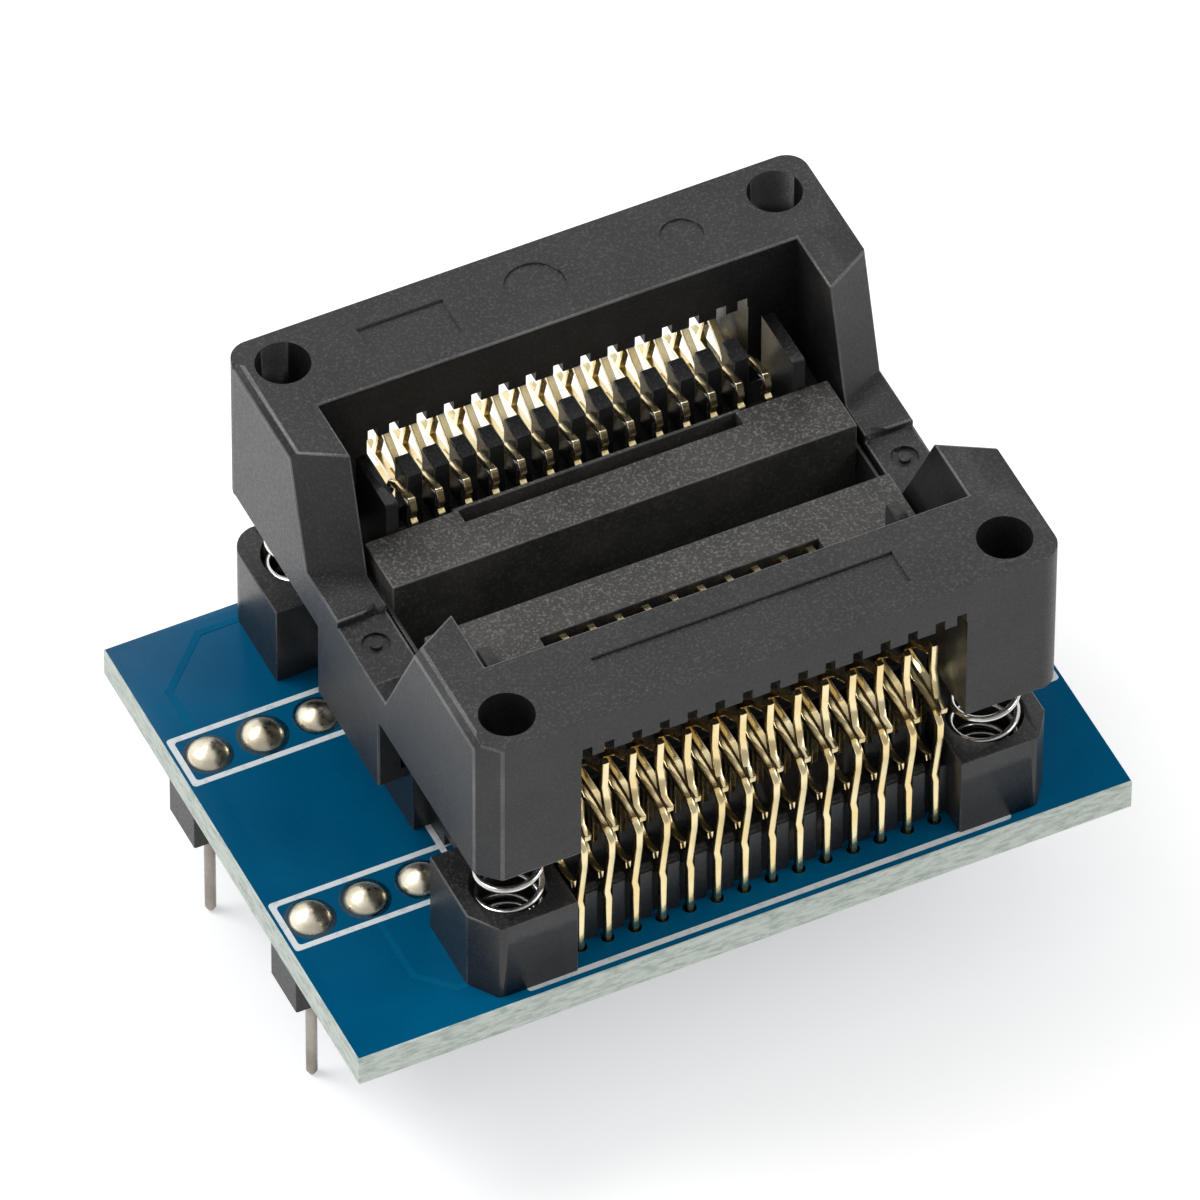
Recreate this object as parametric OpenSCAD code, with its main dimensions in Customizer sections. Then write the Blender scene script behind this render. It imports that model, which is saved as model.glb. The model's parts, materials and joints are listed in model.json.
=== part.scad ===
// Open-top test socket for a 28-lead small-outline chip, soldered to an
// adapter board that plugs into a 28-pin dual-in-line footprint.
// Millimetres, +Z up. Origin: centre of the pattern of board pins, pin tips at z = 0.

/* [Board] */
// Length of the board along X
board_length = 36; // [34:0.5:44]
// Depth of the board along Y
board_depth = 25.4; // [25:0.1:32]
// Thickness of the board
board_thickness = 1.6; // [1:0.1:2.4]
// Thickness of a solder fillet around a pin or a tail
solder_wall = 0.68; // [0.4:0.01:0.7]
// Height of a solder fillet
solder_height = 0.5; // [0.3:0.05:0.8]

/* [Board pins] */
// Pins in each of the two rows
pins_per_row = 14; // [6:1:14]
// Pitch of the pins along a row
pin_pitch = 2.54; // [2.5:0.01:2.6]
// Distance between the two rows
pin_row_spacing = 10.16; // [8:0.01:11]
// Distance of the board's middle in front of the middle of the pin pattern
board_shift = 0.31; // [0:0.01:0.6]
// Diameter of the free end of a pin
pin_diameter = 0.5; // [0.4:0.05:0.6]
// Diameter of the barrel of a pin inside its strip
pin_barrel_diameter = 1.3; // [1:0.1:1.6]
// Length of a pin below the board
pin_drop = 8.3; // [6:0.1:10]
// Height of the insulating strip that holds a row of pins
strip_height = 2.5; // [2:0.1:3.5]
// Width of the insulating strip
strip_width = 2.54; // [2.3:0.01:2.9]
// Gap from the end of a strip to the end of the board
strip_end_gap = 0.22; // [0.1:0.02:1]

/* [Contacts] */
// Contacts in each row
contacts_per_row = 14; // [10:1:14]
// Pitch of the contacts
contact_pitch = 1.27; // [1.2:0.01:1.3]
// Thickness of the strip a contact is stamped from
contact_thickness = 0.32; // [0.25:0.01:0.4]
// Width of the stamped arms of a contact
contact_arm = 0.32; // [0.26:0.01:0.36]
// Distance of the contact tails inside the front and back of the base
tail_inset = 1.15; // [1.1:0.01:1.2]
// Length of a tail below the board
tail_drop = 0.9; // [0.5:0.05:1.5]
// Contacts at the middle of the front row that reach further inwards
long_reach_count = 10; // [0:2:10]
// Extra inward reach of these contacts
long_reach = 0.95; // [0:0.05:1]

/* [Base] */
// Width of the base along X
base_width = 26.86; // [26.5:0.02:27.2]
// Depth of the base along Y
base_depth = 25; // [24.8:0.05:25.2]
// Height of the corner posts of the base
post_height = 4.3; // [4:0.05:4.4]
// Height of the ribs between the contact tails
rib_height = 2.9; // [2:0.1:3]
// Height of the base floor
floor_height = 2.4; // [2:0.1:2.6]
// Height of the comb teeth between the contacts
comb_height = 11.7; // [11.3:0.1:12]
// Gap on each side of a contact in the slots of the base
slot_clearance = 0.06; // [0.03:0.01:0.1]

/* [Cover] */
// Distance of the sides of the cover inside those of the base
cover_side_inset = 0.03; // [0:0.01:0.1]
// Distance that the cover reaches past the front and back of the base
cover_overhang = 0.2; // [0.1:0.05:0.3]
// Height of the top of the cover above the board
cover_top = 15.7; // [15.4:0.1:16.5]
// Diameter of the holes in the corners of the cover
cover_hole_diameter = 2.4; // [1.8:0.1:2.6]
// Press travel of the cover
travel = 2.6; // [2:0.1:2.8]
// Gap left between the cover and the posts when it is pressed down
pressed_gap = 0.7; // [0.6:0.05:0.9]

/* [Chip seat] */
// Length of the seat along X
seat_length = 21.6; // [20:0.1:21.8]
// Height of the seat ledges above the board
ledge_height = 10.7; // [10.4:0.05:10.8]
// Width of the trough between the ledges
trough_width = 3; // [2.4:0.1:3.4]

/* [Springs] */
// Outer diameter of the springs
spring_diameter = 3.1; // [2.6:0.05:3.2]
// Diameter of the spring wire
spring_wire = 0.3; // [0.2:0.02:0.4]
// Active turns of a spring
spring_turns = 9; // [5:1:9]

/* [Hidden] */

// Heights and places that follow from the values above.
board_top = pin_drop + board_thickness;
socket_offset = pin_pitch / 2;
cover_bottom = post_height + travel + pressed_gap;
cover_width = base_width - 2 * cover_side_inset;
cover_depth = base_depth + 2 * cover_overhang;
eps = 0.01;

// Contacts
contact_half_span = (contacts_per_row - 1) * contact_pitch / 2;
window_half = contacts_per_row * contact_pitch / 2;
tail_row = base_depth / 2 - tail_inset;
bulge_row = tail_row + 0.27;
lever_row = tail_row - 3.25;
stem_row = tail_row - 2.6;
tip_row = tail_row - 6.4;
tip_height = ledge_height - 0.5;
tip_radius = contact_arm / 2 + 0.14;
long_tip_row = tip_row - long_reach;
long_tip_radius = contact_arm / 2 + 0.04;
elbow_height = 2.55;
stem_foot_height = 2.6;
bulge_height = [5.5, 6.35];
shoulder_height = 6.7;
foot_height = cover_bottom + 0.1;
upright_height = foot_height + 3.02;
arm_height = ledge_height + 0.35;

// Base
post_inner_y = base_depth / 2 - 4.94;
post_chamfer = 0.95;
post_round = 1.3;
rib_outer_row = tail_row - contact_arm / 2 - 0.09;
rib_depth = 0.55;
rib_width = 0.62;
carrier_inner_row = stem_row - 1.4;
carrier_outer_row = stem_row + 0.55;
carrier_half_x = window_half - 0.1;
carrier_height = 5.5;
comb_inner_row = tip_row + 1.15;
comb_slot_floor = 8.6;
tooth_width = 0.75;
fin_width = 0.55;
fin_inner_x = window_half + 0.31;
fin_row = [tip_row - 0.55, carrier_inner_row + 0.1];
fin_height = comb_height + 0.7;
contact_slot = contact_thickness + 2 * slot_clearance;
joint_channel = [2.5, 0.8];
rail_height = [post_height + 0.05, post_height + 0.55];

// Cover
leg_span = [-2.5, 3.5];
leg_thickness = 1.05;
leg_bottom = post_height - 0.7;
hook_height = 0.6;
hook_gap = 0.15;
leg_inner_x = cover_width / 2 - leg_thickness;
rail_outer_x = leg_inner_x - hook_gap;
hook_inner_x = rail_outer_x - 0.25;
rib_side_x = hook_inner_x - hook_gap;
well_half_x = seat_length / 2 + 0.33;
well_half_y = stem_row - 0.63;
cover_hole = [cover_width / 2 - 1.95, cover_depth / 2 - 1.8];
cover_chamfer = 0.9;
cover_round = 1;
window_top = [cover_top - 3.25, cover_top - 2.2];
channel_rows = [well_half_y + 0.8, cover_depth / 2 - 0.8];
channel_top = cover_top - 1.5;
notch_width = 0.45;
notch_rise = 0.55;
saddle_height = 9.5;
saddle_step = 0.4;
saddle_step_y = 1.45;
ramp_top_y = [well_half_y - 3.24, well_half_y - 1.92];
ramp_run = [2.6, 1.4];
boss_x = leg_inner_x - 0.05;
boss_radius = 0.62;
boss_wall = 0.36;
boss_groove = 0.18;
label_depth = 0.14;
front_label = [[-7, 1.3 - cover_depth / 2], [6.88, 3.15 - cover_depth / 2]];
back_label = [[-7.87, cover_depth / 2 - 3.4], [-3.87, cover_depth / 2 - 1.35]];
mark_depth = 0.09;
mark_row = cover_depth / 2 - 2.35;
moulding_marks = [[0, 1.35], [6.83, 0.95]];

// Seat
seat_floor = floor_height;
trough_floor = 4.6;
ledge_outer_y = tip_row - 0.6;
groove_rows = [ledge_outer_y - 0.75, ledge_outer_y];
groove_half_length = 6.48;
groove_depth = 1.2;
rim_thickness = 0.18;

// Walls of the base at the ends of the well
end_wall_x = well_half_x - 0.15;
end_wall_thickness = 0.8;
end_wall_height = saddle_height - 0.2;

// Springs
spring_place = [cover_width / 2 - 2.35, cover_depth / 2 - 2.45];
spring_pocket_radius = spring_diameter / 2 + 0.15;
spring_floor = 1.2;
spring_ceiling = cover_top - 3.7;
spring_segments = 14;
spring_sides = 6;

// Left or right side of a polyline with mitred corners, offset by d.
function unit(v) = v / norm(v);
function normal_of(a, b) = let (u = unit(b - a)) [-u[1], u[0]];
function mitre(p, i, d) =
    let (
        n = len(p),
        before = normal_of(p[max(i - 1, 0)], p[max(i, 1)]),
        after = normal_of(p[min(i, n - 2)], p[min(i + 1, n - 1)]),
        middle = unit(before + after)
    )
    p[i] + middle * d / (middle * before);
function strip_outline(p, width) = concat(
    [for (i = [0 : len(p) - 1]) mitre(p, i, -width / 2)],
    [for (i = [len(p) - 1 : -1 : 0]) mitre(p, i, width / 2)]
);
function arc(centre, radius, from, to, steps) = [
    for (i = [0 : steps]) let (a = from + (to - from) * i / steps)
        centre + radius * [cos(a), sin(a)]
];

module at_socket() {
    translate([socket_offset, 0, board_top]) children();
}

module both_rows() {
    children();
    mirror([0, 1, 0]) children();
}

module both_ends() {
    children();
    mirror([1, 0, 0]) children();
}

module four_corners() {
    both_rows() both_ends() children();
}

// A box given by its lowest and highest corners.
module block(low, high) {
    translate(low) cube(high - low);
}

// A YZ outline drawn as [y, z], extruded along X from x0 to x1.
module along_x(x0, x1) {
    translate([x0, 0, 0]) rotate([90, 0, 90]) linear_extrude(x1 - x0) children();
}

// ---------------------------------------------------------------- board

function pin_x(i) = (i - (pins_per_row - 1) / 2) * pin_pitch;
function contact_x(i) = i * contact_pitch - contact_half_span;

module pin_row(side) {
    for (i = [0 : pins_per_row - 1])
        translate([pin_x(i), side * pin_row_spacing / 2, 0]) children();
}

module tail_row_places(side) {
    translate([socket_offset, 0, board_top])
        for (i = [0 : contacts_per_row - 1])
            translate([contact_x(i), side * tail_row, 0]) children();
}

module circuit_board() {
    color("#045a8c") difference() {
        translate([-board_length / 2, -board_depth / 2 - board_shift, pin_drop])
            cube([board_length, board_depth, board_thickness]);
        for (side = [-1, 1]) {
            pin_row(side) translate([0, 0, pin_drop - eps])
                cylinder(h = board_thickness + 2 * eps, r = pin_diameter / 2 + 0.1, $fn = 32);
            tail_row_places(side) translate([0, 0, -board_thickness - eps])
                cylinder(h = board_thickness + 2 * eps, r = contact_arm / 2 + 0.14, $fn = 32);
        }
    }
}

module pin_strip(side) {
    length = board_length - 2 * strip_end_gap;
    color("#17181a") difference() {
        translate([-length / 2, side * pin_row_spacing / 2 - strip_width / 2, pin_drop - strip_height])
            cube([length, strip_width, strip_height]);
        pin_row(side) translate([0, 0, pin_drop - strip_height - eps])
            cylinder(h = strip_height + 2 * eps, d = pin_barrel_diameter, $fn = 32);
    }
}

module pins(side) {
    tip = pin_diameter / 2;
    color("#a9a7a1") pin_row(side) rotate_extrude($fn = 32) polygon([
        [0, 0], [tip * 0.5, 0], [tip, tip], [tip, pin_drop - strip_height],
        [pin_barrel_diameter / 2, pin_drop - strip_height],
        [pin_barrel_diameter / 2, pin_drop], [tip, pin_drop],
        [tip, board_top + solder_height * 0.9], [0, board_top + solder_height * 0.9]
    ]);
}

module solder_cone(inner, wall, height) {
    rotate_extrude($fn = 32) polygon([
        [inner, 0], [inner + wall, 0], [inner + wall * 0.86, height * 0.36],
        [inner + wall * 0.56, height * 0.7], [inner + wall * 0.15, height], [inner, height]
    ]);
}

module pin_solder(side) {
    color("#c9c4b4") pin_row(side) translate([0, 0, board_top])
        solder_cone(pin_diameter / 2, solder_wall, solder_height);
}

module tail_solder(side) {
    size = [contact_thickness, contact_arm];
    color("#c9c4b4") tail_row_places(side) difference() {
        translate([0, 0, -board_thickness]) mirror([0, 0, 1])
            rotate_extrude($fn = 32) polygon([
                [0, 0], [contact_arm + 0.3, 0], [contact_arm + 0.1, tail_drop * 0.3],
                [contact_arm * 0.9, tail_drop * 0.7], [0, tail_drop * 0.7]
            ]);
        translate([-size[0] / 2, -size[1] / 2, -board_thickness - tail_drop])
            cube([size[0], size[1], 2 * tail_drop]);
    }
}

// --------------------------------------------------------------- contacts

// Stamped outline of a contact as [distance from the centre line, height].
module contact_outline(reach) {
    tail = [
        [tail_row, -board_thickness - tail_drop], [tail_row, elbow_height],
        [tail_row - 0.17, elbow_height + 0.25], [bulge_row, bulge_height[0]],
        [bulge_row, bulge_height[1]], [tail_row - 0.15, shoulder_height],
        [tail_row - 0.8, shoulder_height + 0.1], [tail_row - 2.1, shoulder_height],
        [lever_row + 0.4, shoulder_height + 0.4], [lever_row, foot_height]
    ];
    stub = [[tail_row - 1.35, shoulder_height + 0.15], [tail_row - 1.35, shoulder_height - 1.86]];
    stem = [
        [stem_row + 0.02, stem_foot_height], [stem_row, bulge_height[0] - 0.3],
        [stem_row - 0.2, shoulder_height + 0.3]
    ];
    base_arm = [
        [tail_row - 0.61, elbow_height + 0.79], [tail_row - 1.47, elbow_height + 0.54],
        [stem_row + 0.5, elbow_height + 0.7], [stem_row, elbow_height + 1.55]
    ];
    foot = [[tail_row + 0.72, foot_height - 0.12], [tail_row - 1.35, foot_height + 0.08],
        [lever_row, foot_height]];
    upright = [[tail_row - 0.05, foot_height], [tail_row - 0.46, foot_height + 1.44],
        [tail_row - 0.39, upright_height]];
    brace = [[tail_row - 0.4, upright_height - 0.37], [tail_row - 0.87, upright_height - 0.87],
        [tail_row - 1.9, upright_height - 1.53], [lever_row, foot_height]];
    arm = concat(
        [[lever_row, foot_height - 0.1], [lever_row - 0.6, arm_height - 1.55],
            [lever_row - 1.1, arm_height - 0.4], [lever_row - 1.67, arm_height],
            [lever_row - 2.43, arm_height + 0.25]],
        reach > 0
            ? [[tip_row + 0.1, arm_height + 0.2], [long_tip_row + 0.34, arm_height + 0.02],
                [long_tip_row + 0.04, tip_height + 0.35], [long_tip_row, tip_height + 0.1]]
            : [[tip_row + 0.2, arm_height + 0.35], [tip_row, arm_height - 0.03],
                [tip_row + 0.16, arm_height - 0.45], [tip_row, tip_height]]
    );
    ball = reach > 0
        ? arc([long_tip_row, tip_height], long_tip_radius, 0, 345, 23)
        : arc([tip_row, tip_height - 0.03], tip_radius, 0, 345, 23);
    strips = [tail, stub, stem, base_arm, foot, upright, brace, arm];
    outlines = concat([ball], [for (strip = strips) strip_outline(strip, contact_arm)]);
    for (outline = outlines) polygon(outline);
}

module contact(side, index) {
    middle = abs(index - (contacts_per_row - 1) / 2) < long_reach_count / 2;
    reach = side < 0 && middle ? long_reach : 0;
    x = contact_x(index);
    color("#c79a3e") at_socket() if (side > 0) {
        along_x(x - contact_thickness / 2, x + contact_thickness / 2) contact_outline(reach);
    } else {
        mirror([0, 1, 0])
            along_x(x - contact_thickness / 2, x + contact_thickness / 2) contact_outline(reach);
    }
}

// ------------------------------------------------------------------- base

module base_post_outline(corner) {
    inner = [window_half, post_inner_y];
    outer = [base_width / 2, base_depth / 2];
    cut = post_chamfer;
    bend = [outer[0] - post_round, outer[1] - post_round];
    polygon(concat(
        [inner, [outer[0], inner[1]]],
        corner == "chamfer"
            ? [[outer[0], outer[1] - cut * 1.4], [outer[0] - cut, outer[1]]]
            : arc(bend, post_round, 0, 90, 8),
        [[inner[0], outer[1]]]
    ));
}

module contact_gaps(width, low, high) {
    for (i = [0 : contacts_per_row - 1])
        translate([contact_x(i), 0, 0])
            block([-width / 2, low[0], low[1]], [width / 2, high[0], high[1]]);
}

module base_row() {
    // Ribs between the tails, the carrier of the stems and the comb.
    block([-window_half - eps, rib_outer_row - rib_depth, 0],
        [window_half + eps, rib_outer_row, rib_height]);
    block([-carrier_half_x, carrier_inner_row - eps, 0],
        [carrier_half_x, carrier_outer_row, carrier_height]);
    block([-fin_inner_x, comb_inner_row, 0], [fin_inner_x, carrier_inner_row, comb_slot_floor]);
    half_comb = contact_half_span - contact_pitch / 2 + tooth_width / 2;
    block([-half_comb, comb_inner_row, 0], [half_comb, carrier_inner_row, comb_height]);
    both_ends() along_x(fin_inner_x - eps, fin_inner_x + fin_width) polygon([
        [fin_row[0], 0], [fin_row[1], 0], [fin_row[1], fin_height],
        [fin_row[0] + 0.1, fin_height], [fin_row[0], fin_height - 0.1]
    ]);
}

module socket_base() {
    comb_gap = contact_pitch - tooth_width;
    rib_gap = contact_pitch - rib_width;
    color("#232528") at_socket() difference() {
        union() {
            block([-end_wall_x, -rib_outer_row + rib_depth / 2, 0],
                [end_wall_x, rib_outer_row - rib_depth / 2, floor_height]);
            both_rows() base_row();
            both_rows() both_ends() linear_extrude(post_height) base_post_outline("round");
            both_ends() {
                block([end_wall_x - end_wall_thickness, -post_inner_y - eps, 0],
                    [end_wall_x, post_inner_y + eps, end_wall_height]);
                block([end_wall_x - eps, leg_span[0], 0], [rib_side_x, leg_span[1], rail_height[1]]);
                block([rib_side_x - eps, leg_span[0], rail_height[0]],
                    [rail_outer_x, leg_span[1], rail_height[1]]);
            }
        }
        block([-seat_length / 2, -ledge_outer_y, floor_height],
            [seat_length / 2, ledge_outer_y, cover_top]);
        // Front corners are chamfered, back corners are round.
        both_ends() translate([0, 0, -eps]) linear_extrude(post_height + 2 * eps) polygon([
            [base_width / 2 + eps, -base_depth / 2 + post_chamfer * 1.4],
            [base_width / 2 - post_chamfer, -base_depth / 2 - eps],
            [base_width / 2 + eps, -base_depth / 2 - eps]
        ]);
        both_rows() {
            contact_gaps(rib_gap, [rib_outer_row - rib_depth / 2, -eps],
                [tail_row, rib_height + eps]);
            contact_gaps(contact_slot, [carrier_inner_row + 0.1, floor_height],
                [rib_outer_row - rib_depth / 2, carrier_height + eps]);
            contact_gaps(comb_gap, [comb_inner_row - eps, comb_slot_floor],
                [carrier_inner_row + eps, comb_height + eps]);
            translate([-base_width, (pin_row_spacing - joint_channel[0]) / 2, -eps])
                cube([2 * base_width, joint_channel[0], joint_channel[1]]);
        }
        four_corners() translate([spring_place[0], spring_place[1], spring_floor])
            cylinder(h = post_height, r = spring_pocket_radius, $fn = 48);
    }
}

// -------------------------------------------------------------- chip seat

module chip_seat() {
    half = seat_length / 2;
    color("#3a3b3e") at_socket() difference() {
        union() {
            block([-half, -ledge_outer_y, seat_floor], [half, ledge_outer_y, ledge_height]);
            both_rows() block([-groove_half_length - rim_thickness, ledge_outer_y - eps, seat_floor],
                [groove_half_length + rim_thickness, ledge_outer_y + rim_thickness, ledge_height]);
        }
        block([-half - eps, -trough_width / 2, trough_floor],
            [half + eps, trough_width / 2, ledge_height + eps]);
        both_rows() block([-groove_half_length, groove_rows[0], ledge_height - groove_depth],
            [groove_half_length, groove_rows[1], ledge_height + eps]);
    }
}

// ------------------------------------------------------------------ cover

module cover_outline() {
    x = cover_width / 2;
    y = cover_depth / 2;
    bend = cover_round;
    polygon(concat(
        [[-x, -y + cover_chamfer], [-x + cover_chamfer, -y]],
        arc([x - bend, -y + bend], bend, -90, 0, 8),
        arc([x - bend, y - bend], bend, 0, 90, 8),
        arc([-x + bend, y - bend], bend, 90, 180, 8)
    ));
}

// Ramp at one end of a side wall and the saddle floor beyond it.
module saddle_cut(floor_z, run) {
    inner = run + 3.4;
    run_x = cover_width / 2 - well_half_x;
    turn = atan((ramp_top_y[1] - ramp_top_y[0]) / run_x);
    edge = ramp_top_y[1] * cos(turn) - cover_width / 2 * sin(turn);
    rotate([0, 0, turn]) along_x(well_half_x - 2, cover_width / 2 + 8) polygon([
        [edge + run * eps, cover_top + eps], [edge - run, floor_z],
        [edge - inner, floor_z], [edge - inner, cover_top + eps]
    ]);
}

// A ring that stands on z = 0, for a round groove.
module ring(radius, wall, height) {
    difference() {
        cylinder(h = height, r = radius, $fn = 48);
        translate([0, 0, -eps]) cylinder(h = height + 2 * eps, r = radius - wall, $fn = 48);
    }
}

module beam_channel() {
    // Room for the contacts under a beam, with a notched lip on each side.
    along_x(-window_half, window_half) polygon([
        [well_half_y - eps, cover_bottom - eps], [well_half_y - eps, window_top[0]],
        [channel_rows[0], window_top[0]], [channel_rows[0], channel_top],
        [channel_rows[1], channel_top], [channel_rows[1], window_top[1] - 0.2],
        [cover_depth / 2 + eps, window_top[1]], [cover_depth / 2 + eps, cover_bottom - eps]
    ]);
    last_notch = window_half - notch_width / 2 - 0.05;
    for (i = [0 : contacts_per_row]) {
        x = min(max(contact_x(i) - contact_pitch / 2, -last_notch), last_notch);
        translate([x - notch_width / 2, 0, 0]) {
            block([0, well_half_y - eps, cover_bottom],
                [notch_width, channel_rows[0] + eps, window_top[0] + notch_rise]);
            block([0, channel_rows[1] - eps, cover_bottom],
                [notch_width, cover_depth / 2 + eps, window_top[1] + notch_rise]);
        }
    }
}

module press_cover() {
    color("#26282b") at_socket() difference() {
        union() {
            translate([0, 0, cover_bottom]) linear_extrude(cover_top - cover_bottom) cover_outline();
            both_ends() {
                block([leg_inner_x, leg_span[0], leg_bottom],
                    [cover_width / 2, leg_span[1], cover_bottom + 1]);
                latch_hook();
            }
        }
        block([-well_half_x, -well_half_y, cover_bottom - eps],
            [well_half_x, well_half_y, cover_top + eps]);
        both_rows() beam_channel();
        both_ends() {
            saddle_cut(saddle_height + saddle_step, ramp_run[1]);
            mirror([0, 1, 0]) saddle_cut(saddle_height, ramp_run[0]);
            block([well_half_x - 1, -2, saddle_height],
                [cover_width / 2 + 1, saddle_step_y, cover_top + eps]);
            translate([boss_x, 0, saddle_height - boss_groove]) ring(boss_radius, boss_wall, 1);
        }
        four_corners() {
            translate([cover_hole[0], cover_hole[1], spring_ceiling - eps])
                cylinder(h = cover_top - spring_ceiling + 1, d = cover_hole_diameter, $fn = 48);
            translate([spring_place[0], spring_place[1], cover_bottom - 1])
                cylinder(h = spring_ceiling - cover_bottom + 1, r = spring_pocket_radius, $fn = 48);
        }
        cover_marks();
    }
}

// Latch hooks at the lower edge of the legs.
module latch_hook() {
    block([hook_inner_x, leg_span[0], leg_bottom],
        [leg_inner_x + eps, leg_span[1], leg_bottom + hook_height]);
}

// Sunken, bare label panels and the round marks that moulding leaves.
module cover_marks() {
    for (label = [front_label, back_label])
        block([label[0][0], label[0][1], cover_top - label_depth],
            [label[1][0], label[1][1], cover_top + eps]);
    for (mark = moulding_marks)
        translate([mark[0], mark_row, cover_top - mark_depth])
            cylinder(h = 1, r = mark[1], $fn = 48);
}

// ---------------------------------------------------------------- springs

function coil_point(t, turns, radius, height) =
    [radius * cos(360 * t * turns), radius * sin(360 * t * turns), height * t];

// A round wire wound into a helix that stands on z = 0.
module coil_spring(diameter, wire, turns, length) {
    radius = (diameter - wire) / 2;
    height = length - wire;
    steps = turns * spring_segments;
    rise = height / turns / (2 * PI * radius);
    points = [for (i = [0 : steps], j = [0 : spring_sides - 1])
        let (
            a = 360 * turns * i / steps,
            b = 360 * j / spring_sides,
            out = [cos(a), sin(a), 0],
            up = unit([sin(a) * rise, -cos(a) * rise, 1]),
            centre = [0, 0, wire / 2] + coil_point(i / steps, turns, radius, height)
        )
        centre + wire / 2 * (cos(b) * out + sin(b) * up)];
    n = spring_sides;
    faces = concat(
        [for (i = [0 : steps - 1], j = [0 : n - 1])
            [i * n + j, (i + 1) * n + j, (i + 1) * n + (j + 1) % n, i * n + (j + 1) % n]],
        [[for (j = [n - 1 : -1 : 0]) n * steps + j], [for (j = [0 : n - 1]) j]]
    );
    polyhedron(points, faces, convexity = 10);
}

module corner_spring(end, side) {
    color("#b9b7b2") at_socket()
        translate([end * spring_place[0], side * spring_place[1], spring_floor])
            coil_spring(spring_diameter, spring_wire, spring_turns, spring_ceiling - spring_floor);
}

// ------------------------------------------------------------------ nodes

circuit_board();
pin_strip(-1);  // pin_strip_front
pin_strip(1);  // pin_strip_back
pins(-1);  // pins_front
pins(1);  // pins_back
pin_solder(-1);  // pin_solder_front
pin_solder(1);  // pin_solder_back
tail_solder(-1);  // tail_solder_front
tail_solder(1);  // tail_solder_back
socket_base();
chip_seat();
press_cover();
corner_spring(-1, -1);  // spring_front_left
corner_spring(1, -1);  // spring_front_right
corner_spring(-1, 1);  // spring_back_left
corner_spring(1, 1);  // spring_back_right
contact(-1, 0);  // contact_front_01
contact(-1, 1);  // contact_front_02
contact(-1, 2);  // contact_front_03
contact(-1, 3);  // contact_front_04
contact(-1, 4);  // contact_front_05
contact(-1, 5);  // contact_front_06
contact(-1, 6);  // contact_front_07
contact(-1, 7);  // contact_front_08
contact(-1, 8);  // contact_front_09
contact(-1, 9);  // contact_front_10
contact(-1, 10);  // contact_front_11
contact(-1, 11);  // contact_front_12
contact(-1, 12);  // contact_front_13
contact(-1, 13);  // contact_front_14
contact(1, 0);  // contact_back_01
contact(1, 1);  // contact_back_02
contact(1, 2);  // contact_back_03
contact(1, 3);  // contact_back_04
contact(1, 4);  // contact_back_05
contact(1, 5);  // contact_back_06
contact(1, 6);  // contact_back_07
contact(1, 7);  // contact_back_08
contact(1, 8);  // contact_back_09
contact(1, 9);  // contact_back_10
contact(1, 10);  // contact_back_11
contact(1, 11);  // contact_back_12
contact(1, 12);  // contact_back_13
contact(1, 13);  // contact_back_14
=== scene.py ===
"""Looks of an open-top test socket for a 28-lead chip, soldered to its adapter board.

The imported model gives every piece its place. This script dresses those pieces: rounded edges on the black
mouldings, plated contacts, wound springs, solder, and the blue board with its white outlines.
All sizes in the classes are in millimetres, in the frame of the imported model.
"""

from __future__ import annotations

import json
import logging
import math
import random
from dataclasses import dataclass
from enum import Enum

import bmesh
import bpy
from mathutils import Matrix, Vector

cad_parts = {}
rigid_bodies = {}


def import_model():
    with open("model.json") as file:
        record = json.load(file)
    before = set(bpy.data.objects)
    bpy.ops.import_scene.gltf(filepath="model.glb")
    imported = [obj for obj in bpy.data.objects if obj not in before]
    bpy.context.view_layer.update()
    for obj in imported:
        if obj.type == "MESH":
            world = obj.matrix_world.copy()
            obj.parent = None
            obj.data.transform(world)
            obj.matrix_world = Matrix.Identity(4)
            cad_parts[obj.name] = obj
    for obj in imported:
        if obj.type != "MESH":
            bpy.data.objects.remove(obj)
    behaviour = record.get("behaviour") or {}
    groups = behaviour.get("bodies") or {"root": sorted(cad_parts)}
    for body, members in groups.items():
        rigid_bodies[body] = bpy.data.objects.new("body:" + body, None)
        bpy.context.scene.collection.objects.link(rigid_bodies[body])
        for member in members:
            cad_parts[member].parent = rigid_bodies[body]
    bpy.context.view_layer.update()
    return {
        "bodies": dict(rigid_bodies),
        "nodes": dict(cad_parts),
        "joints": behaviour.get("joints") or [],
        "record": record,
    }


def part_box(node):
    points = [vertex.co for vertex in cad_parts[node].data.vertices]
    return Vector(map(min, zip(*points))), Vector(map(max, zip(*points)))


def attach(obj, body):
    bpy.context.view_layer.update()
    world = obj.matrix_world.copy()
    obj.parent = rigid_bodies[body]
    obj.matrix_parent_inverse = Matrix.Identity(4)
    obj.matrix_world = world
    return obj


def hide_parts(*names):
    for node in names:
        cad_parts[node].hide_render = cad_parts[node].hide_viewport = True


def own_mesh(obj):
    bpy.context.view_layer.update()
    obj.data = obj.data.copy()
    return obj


MM = 0.001
WELD = 0.0015  # millimetres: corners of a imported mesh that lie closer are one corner
FLAT = 0.1  # degrees: packed triangles that bend less are one face
RIGHT_ANGLE = 60  # degrees: creases above it are the square edges of a stamped or cut piece
RANGE_ENTRIES = ("From Min", "From Max", "To Min", "To Max")
UPWARD = "upward"
Colour = tuple[float, float, float]
Range = tuple[float, float]
log = logging.getLogger("test_socket")


class Side(Enum):
    """A side of the socket."""

    @property
    def word(self) -> str:
        """The side's name as the pieces spell it."""
        return self.name.lower()


class Row(Side):
    """The two long sides, with their sign along Y."""

    FRONT = -1
    BACK = 1


class End(Side):
    """The two ends, with their sign along X."""

    LEFT = -1
    RIGHT = 1


# ------------------------------------------------------------------ finishes


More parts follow.
